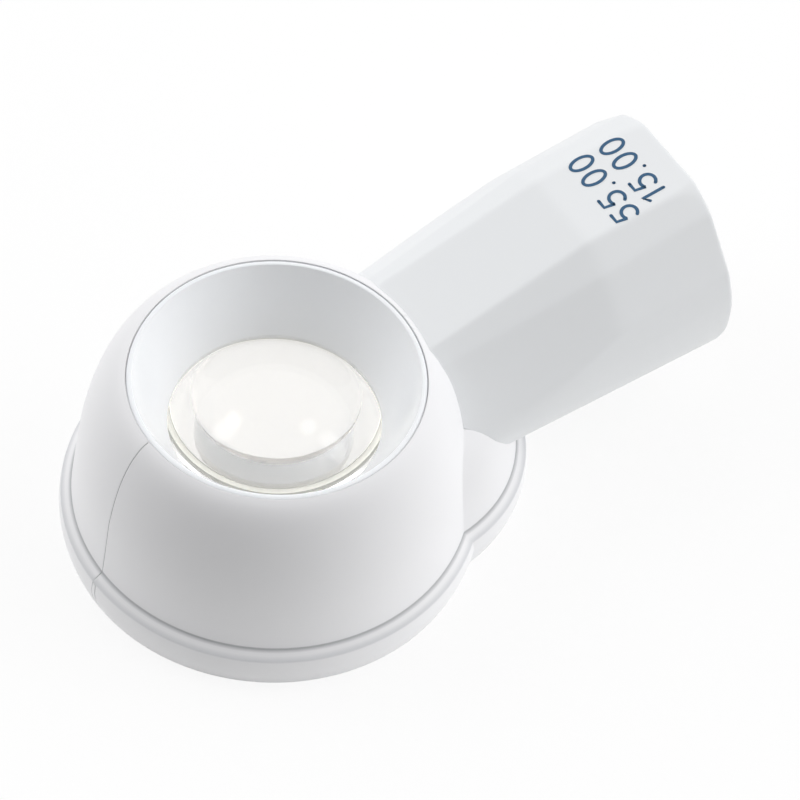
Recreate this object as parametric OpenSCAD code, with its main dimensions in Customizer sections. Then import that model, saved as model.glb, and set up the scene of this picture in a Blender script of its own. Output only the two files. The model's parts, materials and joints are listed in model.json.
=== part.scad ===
// Head of an illuminated stand magnifier: a domed stand with a funnel-shaped
// eyecup over a strong lens, and a faceted neck that takes a battery handle.
// Z is up, the lens axis is Z, the table is z = 0 and the neck runs along +X.

/* [Dome] */
// Radius of the dome where it meets its foot
dome_r = 25.8; // [24.5:0.1:28]
// Height of the dome's rim above the table
dome_h = 29.1; // [28:0.1:31]
// Height of the foot's shelf at the dome
foot_h = 6.1; // [5:0.1:7.5]
// How far the foot stands out from the dome
foot_out = 1.7; // [1.2:0.1:2.5]
// Inward lean of the dome's wall up to its shoulder
dome_lean = 0.85; // [0.4:0.05:1.4]
// Thickness of the dome's wall
shell_wall = 1.8; // [1.4:0.1:2.2]

/* [Lobe] */
// Distance from the lens axis to the lobe's centre
lobe_x = 15; // [13:0.5:16]
// Radius of the lobe where it meets its foot
lobe_r = 19.4; // [18.5:0.1:20.5]
// Height at which the lobe's rounded shoulder starts
lobe_shoulder_z = 15; // [14:0.5:16]
// Rise of the lobe's rounded crown above its shoulder
lobe_crown_h = 6; // [5:0.5:6.5]
// Radius at which the lobe's crown levels out
lobe_top_r = 11; // [9:0.5:13]

/* [Eyecup and lens] */
// Radius of the eyecup's rim
eyecup_r = 19.05; // [18:0.05:19.5]
// Radius of the opening that the lens shows through
lens_view_r = 13.75; // [12.5:0.05:14]
// Height of the eyecup's shoulder over the lens
lens_seat_z = 19.9; // [19.4:0.1:20.6]
// Radius of curvature of both lens faces
lens_curve_r = 17.9; // [17:0.1:20]
// Thickness of the lens at its edge
lens_edge = 1.7; // [1.2:0.1:2.2]
// Depth of the ring that holds the lens
lens_ring_h = 1.6; // [1.2:0.1:2.2]

/* [Neck] */
// How far the neck's axis lies below the dome's rim
neck_drop = 8.5; // [8:0.1:9]
// Radius of the neck where it is round
neck_r = 16.4; // [16:0.1:17.5]
// Where the neck's taper meets its straight grip
kink_x = 43.4; // [42.5:0.1:45]
// End of the neck, measured from the lens axis
end_x = 60.3; // [59.5:0.1:66]
// Wall of the neck's sleeve
sleeve_wall = 1.6; // [1.3:0.1:1.8]

/* [Handle socket] */
// Radius of the socket that takes the handle's spigot
socket_r = 12.6; // [12:0.05:12.7]
// Thickness of the metal liner in the socket
liner_wall = 0.5; // [0.4:0.05:0.6]
// Depth of the lined socket
socket_depth = 12.4; // [11:0.1:13]
// Width of the bayonet slots in the liner
bayonet_w = 3.6; // [3:0.1:4.5]
// Turn of each bayonet slot, in degrees
bayonet_turn = 20; // [12:1:24]
// Length of the land that guides the spigot
land_len = 9; // [8:0.1:9.2]
// Clearance round the spigot behind the land and in the seal
socket_relief = 0.25; // [0.2:0.05:0.3]
// Depth of the bayonet slots from the socket's mouth
bayonet_depth = 7; // [6:0.5:8]

/* [Lamp] */
// How far the lamp's axis lies below the neck's axis
lamp_drop = 5.2; // [4.8:0.1:5.6]
// Radius of the circuit board
board_r = 8.8; // [8:0.1:9]
// Thickness of the circuit board
board_t = 1.0; // [0.8:0.1:1.2]
// Radius of the diffuser disc
diffuser_r = 7.4; // [6.8:0.1:7.5]
// Thickness of the diffuser disc
diffuser_t = 1.2; // [0.8:0.1:1.5]
// Width of the light emitter's package
led_w = 3.4; // [2.8:0.1:3.6]
// Length of each resistor on the board
resistor_l = 3; // [2:0.1:3.2]
// Width of each resistor
resistor_w = 1.6; // [1.2:0.1:1.8]
// Distance of each resistor from the board's middle line
resistor_y = 4.2; // [3.6:0.1:4.6]

/* [Contact] */
// Radius of the sprung contact pin
pin_r = 1.5; // [1.2:0.1:1.7]
// How far the contact pin stands into the socket
pin_reach = 2.6; // [2:0.1:2.8]
// Travel of the contact pin
pin_travel = 1.6; // [1:0.1:2]
// Radius of the contact pin's collar
collar_r = 2.4; // [2.2:0.1:2.6]
// Wire diameter of the contact spring
spring_wire = 0.35; // [0.25:0.05:0.4]
// Number of turns in the contact spring
spring_turns = 4.5; // [3.5:0.5:5]

/* [Screws] */
// Radius of the screws' threads
screw_r = 1.0; // [0.8:0.1:1.1]
// Radius of the screws' heads
screw_head_r = 1.9; // [1.6:0.1:2]
// Thickness of the screws' heads
screw_head_t = 1.2; // [0.9:0.1:1.4]
// Height of the upper screw above the neck's axis
screw_up = 6.0; // [5.5:0.1:6.4]
// Distance of the upper screw behind the bulkhead's face
screw_back = 5.1; // [4.6:0.1:5.4]
// Depth of the lower screw below the neck's axis
screw_down = 12.3; // [12.2:0.1:12.5]
// Distance of the lower screw from the stub's end
screw_in = 3.7; // [3.4:0.1:4]
// Length of the upper screw's thread
screw_long = 12; // [10:0.5:13]
// Length of the lower screw's thread
screw_short = 8; // [6:0.5:8]

/* [Hidden] */
$fn = 96;

// Running clearance of sliding round parts, and the gap of seated ones
run_gap = 0.05;
seat_gap = 0.08;
part_line = 0.15;
eps = 0.01;

// Plane on which the two shells meet
seam_y = -0.04;

// Room that a cut runs past a face, and a size beyond the whole part
cut = 1;
far = 90;

// Axes of the neck and of the lamp
neck_z = dome_h - neck_drop;
lamp_z = neck_z - lamp_drop;

// Dome outline, from the foot's shelf to the rim
shoulder_z = foot_h + 0.43 * (dome_h - foot_h);
rim_hole_r = eyecup_r + part_line;
shoulder_r = dome_r - dome_lean;
shoulder_pull_r = shoulder_r - 1.75;
shoulder_pull_z = dome_h - 1.5;

// Seat of the eyecup in the dome's rim
eyecup_flange_t = 4.5;
ledge_z = dome_h - eyecup_flange_t - 0.02;
ledge_t = 1.6;
barrel_r = lens_view_r + 3.3;
ledge_r = barrel_r + 0.3;
cavity_top_z = ledge_z - ledge_t;

// Lobe outline: it leans like the dome and rounds over under the neck
lobe_shoulder_r = lobe_r - 0.9 * dome_lean;
lobe_pull_r = lobe_shoulder_r - 0.45;
lobe_top_z = lobe_shoulder_z + lobe_crown_h;
lobe_pull_z = lobe_top_z - 0.8;

// Lens pocket in the eyecup
gasket_t = 0.3;
lens_rim_r = lens_view_r + 1.15;
lens_pocket_r = lens_rim_r + 0.15;
lens_top_z = lens_seat_z - gasket_t;
lens_bottom_z = lens_top_z - lens_edge;
lens_sag = lens_curve_r - sqrt(pow(lens_curve_r, 2) - pow(lens_view_r, 2));
barrel_bottom_z = lens_bottom_z - lens_ring_h - 0.4;

// Neck facets on one side: angle from the top, distance from the neck's axis
// at the kink, and its rise per millimetre along the neck before and after it
neck_flat = neck_r - 2.45;
neck_facets = [
    [0, neck_flat, 0.25, 0.089],
    [32, neck_flat + 1.05, 0.209, 0.083],
    [53, neck_flat + 0.95, 0.176, 0.051],
    [72, neck_flat + 1.8, 0.05, 0.03],
    [95, neck_flat + 2.3, 0.035, 0.01]
];
stub_wall = 1.5;
stub_inset = sleeve_wall + seat_gap;

// Stations along the neck, from the socket's mouth back to the diffuser
liner_out_x = end_x - 0.5;
liner_in_x = liner_out_x - socket_depth;
liner_r = socket_r + liner_wall;
sleeve_bore_r = liner_r + run_gap;
seal_t = 0.4;
strip_t = 0.3;
cap_out_x = liner_in_x - strip_t;
cap_t = 1.3;
cap_in_x = cap_out_x - cap_t;
housing_flange_t = 1.4;
housing_out_x = cap_in_x - 0.1;
housing_flange_x = housing_out_x - housing_flange_t;
stub_end_x = housing_flange_x - 0.1;

// Contact pin and spring, and the board that the spring stands on
collar_t = 0.9;
collar_out_x = cap_in_x - 0.02;
collar_in_x = collar_out_x - collar_t;
terminal_t = 0.5;
spring_seat = 0.03;
spring_len = pin_travel + (spring_turns + 1) * spring_wire + 1.8;
spring_x = collar_in_x - spring_seat - spring_len;
spring_r = collar_r - spring_wire / 2 - 0.15;
tail_r = spring_r - spring_wire / 2 - 0.35;
tail_len = 0.45 * spring_len;
pin_tip_x = cap_out_x + pin_reach;
pocket_r = collar_r + 0.2;
web_x = spring_x - spring_seat - terminal_t;
board_x = web_x - board_t;
housing_in_x = board_x - 0.4;
housing_r = board_r + 1.0;
board_pocket_r = board_r + run_gap;
stub_bore_x = housing_in_x - 0.2;
stub_bore_r = housing_r + run_gap;

// Lamp optics
led_t = 0.9;
led_x = board_x - led_t;
led_dome_r = 0.38 * led_w;
bulkhead_x = 26.4;
bulkhead_t = 2.6;
window_r = diffuser_r - 1.9;
diffuser_x = bulkhead_x + 0.6;
diffuser_pocket_r = diffuser_r + run_gap;
reflector_wall = 0.7;
reflector_x = diffuser_x + diffuser_t + 0.1;
reflector_back_x = led_x - 0.2;
reflector_mouth_r = diffuser_r - 1.0;
reflector_throat_r = led_w / 2 + 0.9;

// Height of the resistors on the board
resistor_t = 0.6;

// Ground strip under the board
strip_w = 3;
strip_drop = 7.4;
slot_gap = 0.15;

// Screws that join the shells inside the sleeve: x, z, top of the head, length
screws = [
    [bulkhead_x + screw_back, neck_z + screw_up, 0.5 * screw_long + 2, screw_long],
    [stub_end_x - screw_in, neck_z - screw_down, 0.35 * screw_short + 1, screw_short]
];
recess_w = 0.4;
recess_l = 1.15 * screw_head_r;

// Boss and peg that keep the shells in line at the nose
boss_w = 4.8;
boss_l = 3.6;
boss_h = 6;
peg_r = 0.8;
peg_len = 3;
peg_x = -dome_r + 1 + boss_l / 2;
peg_z = foot_h + boss_h / 2;

// Key notches: in the lens ring, and in the board's edge
key_w = 2;
key_depth = 0.6;
notch_depth = 0.8;

// Tongue of the foot's lap joint
tongue_w = 1.5;
tongue_h = 0.8 * foot_h;

// Points of a quadratic curve from a to c, drawn towards b
function curve(a, b, c, n) = [
    for (i = [0 : n])
        let (t = i / n)
        (1 - t) * (1 - t) * a + 2 * t * (1 - t) * b + t * t * c
];

// Half outline of the foot under a wall of radius r
function foot_outline(r, grow) = concat(
    [[0, -grow], [r + 0.5 * foot_out + grow, -grow]],
    curve([r + 0.5 * foot_out + grow, 0], [r + 1.15 * foot_out + grow, 0.5 * foot_h],
          [r + 0.8 * foot_out + grow, 0.85 * foot_h + grow], 6),
    [[r + grow, foot_h + grow]]
);

// Half outline of the dome over its foot, grown outward
function dome_outline(grow) = concat(
    foot_outline(dome_r, grow),
    curve([shoulder_r + grow, shoulder_z], [shoulder_pull_r + grow, shoulder_pull_z + grow],
          [rim_hole_r, dome_h + grow], 12),
    [[0, dome_h + grow]]
);

// Half outline of the lobe over its foot, grown outward
function lobe_outline(grow) = concat(
    foot_outline(lobe_r, grow),
    curve([lobe_shoulder_r + grow, lobe_shoulder_z],
          [lobe_pull_r + grow, lobe_pull_z + grow],
          [lobe_top_r, lobe_top_z + grow], 10),
    [[0, lobe_top_z + grow]]
);

// Outer form of dome, lobe and foot, grown outward
module stand_form(grow = 0) {
    rotate_extrude() polygon(dome_outline(grow));
    translate([lobe_x, 0, 0]) rotate_extrude() polygon(lobe_outline(grow));
}

// Hollow under the dome and the lobe, open at the table
module stand_hollow() {
    inner_r = dome_r - shell_wall;
    rotate_extrude() polygon(concat(
        [[0, -cut], [inner_r, -cut], [inner_r, foot_h]],
        curve([shoulder_r - shell_wall, shoulder_z - 1],
              [shoulder_pull_r - shell_wall + 0.1, cavity_top_z - 0.8],
              [ledge_r, cavity_top_z], 8),
        [[0, cavity_top_z]]
    ));
    translate([lobe_x, 0, 0]) rotate_extrude() polygon(concat(
        [[0, -cut], [lobe_r - shell_wall, -cut], [lobe_r - shell_wall, foot_h]],
        curve([lobe_shoulder_r - shell_wall, lobe_shoulder_z - 1],
              [lobe_pull_r - shell_wall, lobe_pull_z - shell_wall],
              [lobe_top_r, lobe_top_z - shell_wall], 6),
        [[0, lobe_top_z - shell_wall]]
    ));
}

// Cylinder along +X on an axis at height z
module rod(x0, x1, r, z = neck_z) {
    translate([x0, 0, z]) rotate([0, 90, 0]) cylinder(h = x1 - x0, r = r);
}

// Solid turned about an axis along +X: points are [radius, x]
module turned_x(points, z = neck_z) {
    translate([0, 0, z]) rotate([0, 90, 0]) rotate_extrude() polygon(points);
}

// Faceted form of the neck between two stations, set in from its surface
module neck_form(x0, x1, inset = 0) {
    difference() {
        rod(x0, x1, neck_r - inset);
        for (f = neck_facets, side = [-1, 1], slope = [f[2], f[3]])
            if (f[0] > 0 || side > 0)
                translate([kink_x, 0, neck_z])
                    rotate([side * f[0], 0, 0])
                        translate([0, 0, f[1] - inset])
                            rotate([0, -atan(slope), 0])
                                translate([-far, -far, 0])
                                    cube([2 * far, 2 * far, far]);
    }
}

// Tongue of the foot by which the left shell laps over the right one
module foot_tongue(gap = 0) {
    translate([-dome_r - 2 * foot_out, -tongue_w / 2 - gap, -cut])
        cube([2 * foot_out - 0.5 + gap, tongue_w, tongue_h + cut + gap]);
}

// Both shells before they are split
module stand_body() {
    difference() {
        union() {
            difference() {
                stand_form();
                stand_hollow();
            }
            // Stub of the neck, and the bulkhead that closes the lobe
            neck_form(bulkhead_x, stub_end_x, stub_inset);
            intersection() {
                stand_form();
                translate([bulkhead_x, -lobe_r, foot_h - 1])
                    cube([bulkhead_t, 2 * lobe_r, dome_h]);
            }
            translate([-dome_r + 1, -boss_w / 2, foot_h]) cube([boss_l, boss_w, boss_h]);
        }
        // Seat of the eyecup and the hole for its barrel
        translate([0, 0, ledge_z]) cylinder(h = far, r = rim_hole_r);
        cylinder(h = far, r = ledge_r);
        // Room for the reflector and the lamp housing
        neck_form(bulkhead_x + bulkhead_t, stub_bore_x + eps, stub_inset + stub_wall);
        rod(stub_bore_x, stub_end_x + cut, stub_bore_r);
        // Light window and the diffuser's pocket
        rod(bulkhead_x - eps, bulkhead_x + bulkhead_t, window_r, lamp_z);
        rod(diffuser_x, bulkhead_x + bulkhead_t + eps, diffuser_pocket_r, lamp_z);
    }
    screw_post();
}

// Post across the stub for the upper screw
module screw_post() {
    intersection() {
        translate([screws[0][0], neck_r, screws[0][1]]) rotate([90, 0, 0])
            cylinder(h = 2 * neck_r, r = screw_head_r + 0.1);
        neck_form(bulkhead_x, stub_end_x, stub_inset);
    }
}

// Cylinder along -Y that starts at y on a screw's axis
module screw_rod(s, y, length, r) {
    translate([s[0], y, s[1]]) rotate([90, 0, 0]) cylinder(h = length, r = r);
}

// Holes for the screws, with a counterbore for each head
module screw_holes() {
    for (s = screws) {
        screw_rod(s, s[2], screw_head_t + s[3] + 0.5, screw_r + 0.02);
        screw_rod(s, s[2] + far, far + screw_head_t, screw_head_r + 0.05);
    }
}

module shell_left() {
    color("#eceded")
    difference() {
        stand_body();
        difference() {
            translate([-far, seam_y - 2 * far, -far]) cube(2 * far);
            foot_tongue();
        }
        screw_holes();
        translate([peg_x, peg_len - 1 + 0.6, peg_z]) rotate([90, 0, 0])
            cylinder(h = far, r = peg_r + run_gap);
    }
}

module shell_right() {
    color("#e8e9ea")
    union() {
        difference() {
            stand_body();
            translate([-far, seam_y, -far]) cube(2 * far);
            foot_tongue(part_line / 2);
            screw_holes();
        }
        // Peg that keeps the shells in line at the nose
        translate([peg_x, peg_len - 1, peg_z]) rotate([90, 0, 0]) cylinder(h = peg_len, r = peg_r);
    }
}

module eyecup() {
    inner_top = eyecup_r - 0.5;
    color("#f6f6f4")
    rotate_extrude() polygon(concat(
        [[lens_pocket_r, barrel_bottom_z], [barrel_r, barrel_bottom_z]],
        [[barrel_r, ledge_z + 0.02], [eyecup_r, ledge_z + 0.02]],
        curve([eyecup_r, dome_h - 0.35], [eyecup_r, dome_h], [inner_top, dome_h], 4),
        curve([inner_top - 0.2, dome_h - 0.05], [lens_view_r + 3.4, lens_seat_z + 5.6],
              [lens_view_r, lens_seat_z + 0.5], 10),
        [[lens_view_r, lens_seat_z], [lens_pocket_r, lens_seat_z]]
    ));
}

module lens() {
    upper_z = lens_top_z + lens_sag - lens_curve_r;
    lower_z = lens_bottom_z - lens_sag + lens_curve_r;
    color([0.86, 0.93, 0.96, 0.45])
    union() {
        intersection() {
            translate([0, 0, upper_z]) sphere(r = lens_curve_r);
            translate([0, 0, lower_z]) sphere(r = lens_curve_r);
            cylinder(h = far, r = lens_view_r, center = true);
        }
        translate([0, 0, lens_bottom_z]) cylinder(h = lens_edge, r = lens_rim_r);
    }
}

// Flat ring on the lens axis
module ring(r_out, r_in, z0, z1) {
    translate([0, 0, z0]) difference() {
        cylinder(h = z1 - z0, r = r_out);
        translate([0, 0, -cut]) cylinder(h = z1 - z0 + 2 * cut, r = r_in);
    }
}

module lens_gasket() {
    color("#d9dcdc") ring(lens_rim_r, lens_view_r + 0.05, lens_top_z, lens_seat_z);
}

module lens_ring() {
    color("#e2e3e3") difference() {
        ring(lens_pocket_r - run_gap, lens_view_r + 0.1, lens_bottom_z - lens_ring_h, lens_bottom_z);
        // Two slots for the key that turns the ring home
        for (a = [0, 180])
            rotate([0, 0, a])
                translate([lens_view_r - cut, -key_w / 2, lens_bottom_z - lens_ring_h - cut])
                    cube([barrel_r - lens_view_r + cut, key_w, key_depth + cut]);
    }
}

module neck_sleeve() {
    color("#e6e7e9")
    difference() {
        neck_form(lobe_x, end_x);
        stand_form(part_line);
        neck_form(lobe_x - cut, housing_flange_x, sleeve_wall);
        rod(stub_end_x - eps, end_x + cut, sleeve_bore_r);
        rod(liner_out_x, end_x + cut, sleeve_bore_r + seal_t);
    }
}

module socket_liner() {
    color("#c9c9c4")
    difference() {
        rod(liner_in_x, liner_out_x, liner_r);
        rod(liner_out_x - land_len, liner_out_x + cut, socket_r);
        rod(liner_in_x - cut, liner_out_x - land_len, socket_r + socket_relief);
        // Two bayonet slots: straight in from the mouth, then turned
        for (a = [90, 270])
            translate([0, 0, neck_z]) rotate([a, 0, 0]) bayonet_slot();
    }
}

// Cut of one bayonet slot through the liner's wall, on its +Z side
module bayonet_slot() {
    arm_run = liner_r * sin(bayonet_turn);
    back_x = liner_out_x - bayonet_depth;
    translate([back_x, -bayonet_w / 2, 0]) cube([bayonet_depth + cut, bayonet_w, far]);
    translate([back_x, -bayonet_w / 2 - arm_run, 0])
        cube([0.9 * bayonet_w, arm_run + bayonet_w, far]);
}

module socket_seal() {
    color("#2b2d30")
    difference() {
        rod(liner_out_x + run_gap, end_x - run_gap, sleeve_bore_r + seal_t - run_gap);
        rod(liner_out_x - cut, end_x + cut, socket_r + socket_relief);
    }
}

module shell_screws() {
    color("#a9abad")
    for (s = screws)
        difference() {
            union() {
                screw_rod(s, s[2], screw_head_t + s[3], screw_r);
                screw_rod(s, s[2], screw_head_t, screw_head_r);
            }
            // Cross recess
            for (a = [0, 90])
                translate([s[0], s[2], s[1]]) rotate([0, a, 0])
                    cube([recess_w, screw_head_t, recess_l], center = true);
        }
}

module diffuser() {
    color([0.97, 0.97, 0.95, 0.8])
        rod(diffuser_x, diffuser_x + diffuser_t, diffuser_r, lamp_z);
}

module reflector() {
    lip_x = bulkhead_x + bulkhead_t;
    color("#d7dadd")
    turned_x([
        [reflector_mouth_r, reflector_x],
        [diffuser_r, reflector_x],
        [diffuser_r, lip_x - 0.05],
        [reflector_mouth_r + reflector_wall, lip_x + 0.3],
        [reflector_throat_r + reflector_wall, reflector_back_x],
        [reflector_throat_r, reflector_back_x],
        [0.55 * reflector_mouth_r + 0.45 * reflector_throat_r,
            0.45 * reflector_x + 0.55 * reflector_back_x]
    ], lamp_z);
}

module led_board() {
    color("#f1f2ee")
    difference() {
        rod(board_x, board_x + board_t, board_r);
        // Key notch at the top edge
        translate([board_x - cut, -key_w / 2, neck_z + board_r - notch_depth])
            cube([board_t + 2 * cut, key_w, notch_depth + cut]);
    }
}

module led_emitter() {
    color("#f3e6a2")
    union() {
        translate([led_x, -led_w / 2, lamp_z - led_w / 2]) cube([led_t, led_w, led_w]);
        translate([led_x, 0, lamp_z]) difference() {
            sphere(r = led_dome_r);
            translate([0.3, -far / 2, -far / 2]) cube([far, far, far]);
        }
    }
}

module board_resistors() {
    color("#26282b")
    for (y = [-resistor_y, resistor_y])
        translate([board_x - resistor_t, y - resistor_w / 2, neck_z + resistor_w])
            cube([resistor_t, resistor_w, resistor_l]);
}

module centre_terminal() {
    color("#d8b45a") rod(web_x, web_x + terminal_t, collar_r);
}

// Slot that lets the ground strip pass along the housing and through the cap
module strip_slot(x0, x1) {
    translate([x0, -strip_w / 2 - slot_gap, neck_z - strip_drop - strip_t - slot_gap])
        cube([x1 - x0, strip_w + 2 * slot_gap, strip_t + 2 * slot_gap]);
}

module lamp_housing() {
    color("#3a3d41")
    difference() {
        union() {
            rod(housing_in_x, housing_flange_x + eps, housing_r);
            rod(housing_flange_x, housing_out_x, liner_r - run_gap);
        }
        rod(housing_in_x - cut, web_x, board_pocket_r);
        rod(web_x - cut, housing_out_x + cut, pocket_r);
        strip_slot(web_x - eps, housing_out_x + cut);
    }
}

module lamp_cap() {
    color("#33363a")
    difference() {
        rod(cap_in_x, cap_out_x, liner_r - run_gap);
        rod(cap_in_x - cut, cap_out_x + cut, pin_r + run_gap);
        strip_slot(cap_in_x - cut, cap_out_x + cut);
    }
}

module ground_strip() {
    color("#cfa94e")
    union() {
        translate([web_x, -strip_w / 2, neck_z - strip_drop - strip_t])
            cube([liner_in_x - web_x, strip_w, strip_t]);
        intersection() {
            translate([cap_out_x, -strip_w / 2, neck_z - liner_r])
                cube([strip_t, strip_w, liner_r - strip_drop]);
            rod(cap_out_x - cut, cap_out_x + cut, liner_r - run_gap);
        }
    }
}

module contact_pin() {
    color("#e0bd62")
    turned_x(concat(
        [[0, collar_in_x - tail_len], [tail_r, collar_in_x - tail_len]],
        [[tail_r, collar_in_x], [collar_r, collar_in_x]],
        [[collar_r, collar_out_x], [pin_r, collar_out_x]],
        curve([pin_r, pin_tip_x - pin_r], [pin_r, pin_tip_x], [0.4 * pin_r, pin_tip_x], 5),
        [[0, pin_tip_x]]
    ));
}

// Contact spring: one unbroken wire wound by formula
spring_sides = 6;
spring_steps = ceil(spring_turns * 12);
function spring_rise(t) = spring_wire / 2 + t * (spring_len - spring_wire);
function spring_centre(t) = let (a = 360 * spring_turns * t)
    [spring_x + spring_rise(t), spring_r * cos(a), neck_z + spring_r * sin(a)];
function spring_ring(t) = let (a = 360 * spring_turns * t, c = spring_centre(t))
    [for (k = [0 : spring_sides - 1])
        let (b = 360 * k / spring_sides, h = spring_wire / 2)
        c + [h * sin(b), h * cos(b) * cos(a), h * cos(b) * sin(a)]];

module contact_spring() {
    rings = [for (i = [0 : spring_steps]) spring_ring(i / spring_steps)];
    n = spring_sides;
    last = spring_steps * n;
    color("#b9bcc0")
    polyhedron(
        points = [for (r = rings, p = r) p],
        faces = concat(
            [for (i = [0 : spring_steps - 1], k = [0 : n - 1])
                [i * n + k, i * n + (k + 1) % n, (i + 1) * n + k]],
            [for (i = [0 : spring_steps - 1], k = [0 : n - 1])
                [i * n + (k + 1) % n, (i + 1) * n + (k + 1) % n, (i + 1) * n + k]],
            [for (k = [1 : n - 2]) [0, k + 1, k]],
            [for (k = [1 : n - 2]) [last, last + k, last + k + 1]]
        )
    );
}
echo(spring_least_gap = (spring_len - spring_wire) / spring_turns - spring_wire);

shell_left();
shell_right();
eyecup();
lens();
lens_gasket();
lens_ring();
neck_sleeve();
socket_liner();
socket_seal();
shell_screws();
diffuser();
reflector();
led_board();
led_emitter();
board_resistors();
centre_terminal();
lamp_housing();
lamp_cap();
ground_strip();
contact_pin();
contact_spring();
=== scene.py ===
"""Looks of the head of an illuminated stand magnifier.

The solid frame is loaded first and is never moved. The classes below dress its nodes.
They also build smooth pieces where the solids leave a curved surface in bands or
facets: the eyecup, the lens, the neck's softly faceted sleeve and the contact's coil.
All lengths are in metres, in the frame of the solids: Z up along the lens's axis,
X along the neck.
"""

import json
import logging
import math
from collections.abc import Callable, Sequence
from dataclasses import dataclass, field
from enum import Enum

import bpy
import numpy as np
from mathutils import Matrix, Vector

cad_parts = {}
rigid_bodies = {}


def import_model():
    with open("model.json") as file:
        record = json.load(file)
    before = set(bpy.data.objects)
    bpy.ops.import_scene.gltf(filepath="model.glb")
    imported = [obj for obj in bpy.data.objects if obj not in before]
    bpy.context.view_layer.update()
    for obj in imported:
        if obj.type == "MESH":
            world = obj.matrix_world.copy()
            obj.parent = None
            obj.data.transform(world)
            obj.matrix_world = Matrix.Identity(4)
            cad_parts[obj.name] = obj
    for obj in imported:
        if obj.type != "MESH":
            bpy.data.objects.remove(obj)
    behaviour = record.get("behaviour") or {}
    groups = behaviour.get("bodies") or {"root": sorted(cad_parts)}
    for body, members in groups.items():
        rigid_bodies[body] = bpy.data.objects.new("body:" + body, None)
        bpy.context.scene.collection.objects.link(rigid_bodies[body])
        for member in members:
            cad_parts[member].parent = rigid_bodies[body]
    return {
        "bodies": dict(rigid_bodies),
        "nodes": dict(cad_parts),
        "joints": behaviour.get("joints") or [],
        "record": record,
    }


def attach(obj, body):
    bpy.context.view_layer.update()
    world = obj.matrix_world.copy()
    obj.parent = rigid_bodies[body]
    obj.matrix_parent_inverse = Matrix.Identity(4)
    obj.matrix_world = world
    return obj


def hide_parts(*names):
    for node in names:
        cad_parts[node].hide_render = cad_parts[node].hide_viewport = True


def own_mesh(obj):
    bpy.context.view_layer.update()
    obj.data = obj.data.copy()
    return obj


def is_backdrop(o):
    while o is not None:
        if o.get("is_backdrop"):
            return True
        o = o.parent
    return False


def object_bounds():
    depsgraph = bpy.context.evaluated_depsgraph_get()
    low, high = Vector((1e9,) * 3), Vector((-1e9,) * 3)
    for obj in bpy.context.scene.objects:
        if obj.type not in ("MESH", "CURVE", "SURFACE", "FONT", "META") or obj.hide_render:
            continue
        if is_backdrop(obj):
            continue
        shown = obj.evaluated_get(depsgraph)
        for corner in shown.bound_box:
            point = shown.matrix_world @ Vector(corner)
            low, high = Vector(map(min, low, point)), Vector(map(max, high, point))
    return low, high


MM = 0.001
WHITE = (1.0, 1.0, 1.0, 1.0)
TURN_STEPS = 192
ARC_STEPS = 28
# Nearer to the axis than this, a turned outline closes in one point
ON_AXIS = 1e-7
log = logging.getLogger("magnifier")

Pair = tuple[float, float]
Point = tuple[float, float, float]
Colour = tuple[float, float, float, float]
Profile = list[Pair]
Face = Sequence[int]
Tree = bpy.types.NodeTree
Socket = bpy.types.NodeSocket
Material = bpy.types.Material
Piece = bpy.types.Object


def linear(hex_colour: str) -> Colour:
    """Turns an sRGB hex colour into linear light.

    Args:
        hex_colour: the colour as "#rrggbb".

    Returns:
        Red, green, blue and an alpha of 1, ready for a shader's colour socket.
    """
    parts = [int(hex_colour[i : i + 2], 16) / 255 for i in (1, 3, 5)]
    r, g, b = (c / 12.92 if c <= 0.04045 else ((c + 0.055) / 1.055) ** 2.4 for c in parts)
    return (r, g, b, 1.0)


def add_node(tree: Tree, kind: str, inputs: dict | None = None, **settings: object) -> bpy.types.Node:
    """Adds one node with its settings, values and links.

    Args:
        tree: the node tree that takes the node.
        kind: the node's Blender type name.
        inputs: socket name or index to a value, or to an output socket to link from.
        **settings: attributes set on the node itself.

    Returns:
        The new node.
    """
    node = tree.nodes.new(kind)
    for name, value in settings.items():
        setattr(node, name, value)
    for key, value in (inputs or {}).items():
        socket = node.inputs[key]
        if isinstance(value, Socket):
            tree.links.new(value, socket)
        else:
            socket.default_value = value
    return node


def node_material(name: str, surface: Callable[[Tree], Socket]) -> Material:
    """Makes a material from the nodes that a function adds.

    Args:
        name: the material's name.
        surface: adds the shader to the material's tree and returns its output.

    Returns:
        The material.
    """
    material = bpy.data.materials.new(name)
    material.use_nodes = True
    tree = material.node_tree
    tree.nodes.clear()
    add_node(tree, "ShaderNodeOutputMaterial", {"Surface": surface(tree)})
    return material


class Grain(Enum):
    """Surface left by the mould: roughness, bump height in mm and grain size in mm."""

    POLISHED = (0.22, 0.0, 0.30)
    SATIN = (0.42, 0.004, 0.25)
    SPARK = (0.50, 0.010, 0.35)


@dataclass(frozen=True)
class Finish:
    """A finish's name and main colour, and how it becomes a material."""

    name: str
    colour: str

    def material(self) -> Material:
        """Builds the finish as a node material."""
        return node_material(self.name, self._surface)

    def _surface(self, tree: Tree) -> Socket:
        """Adds the finish's shader to a tree; each kind of finish has its own."""
        raise NotImplementedError

    def _bumps(
        self, tree: Tree, width: float, strength: float, depth: float, normal: Socket | None = None
    ) -> Socket:
        """Adds an even, fine unevenness.

        Args:
            tree: the node tree to add to.
            width: width of one bump.
            strength: how strongly the bumps show.
            depth: their depth.
            normal: the rounded edges that they lie on, if there are any.

        Returns:
            The normal for the shader.
        """
        place = add_node(tree, "ShaderNodeTexCoord")
        scale = {"Vector": place.outputs["Object"], "Scale": 1 / width}
        noise = add_node(tree, "ShaderNodeTexNoise", scale)
        inputs = {"Strength": strength, "Distance": depth, "Height": noise.outputs["Fac"]}
        if normal is not None:
            inputs["Normal"] = normal
        return add_node(tree, "ShaderNodeBump", inputs).outputs["Normal"]


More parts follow.
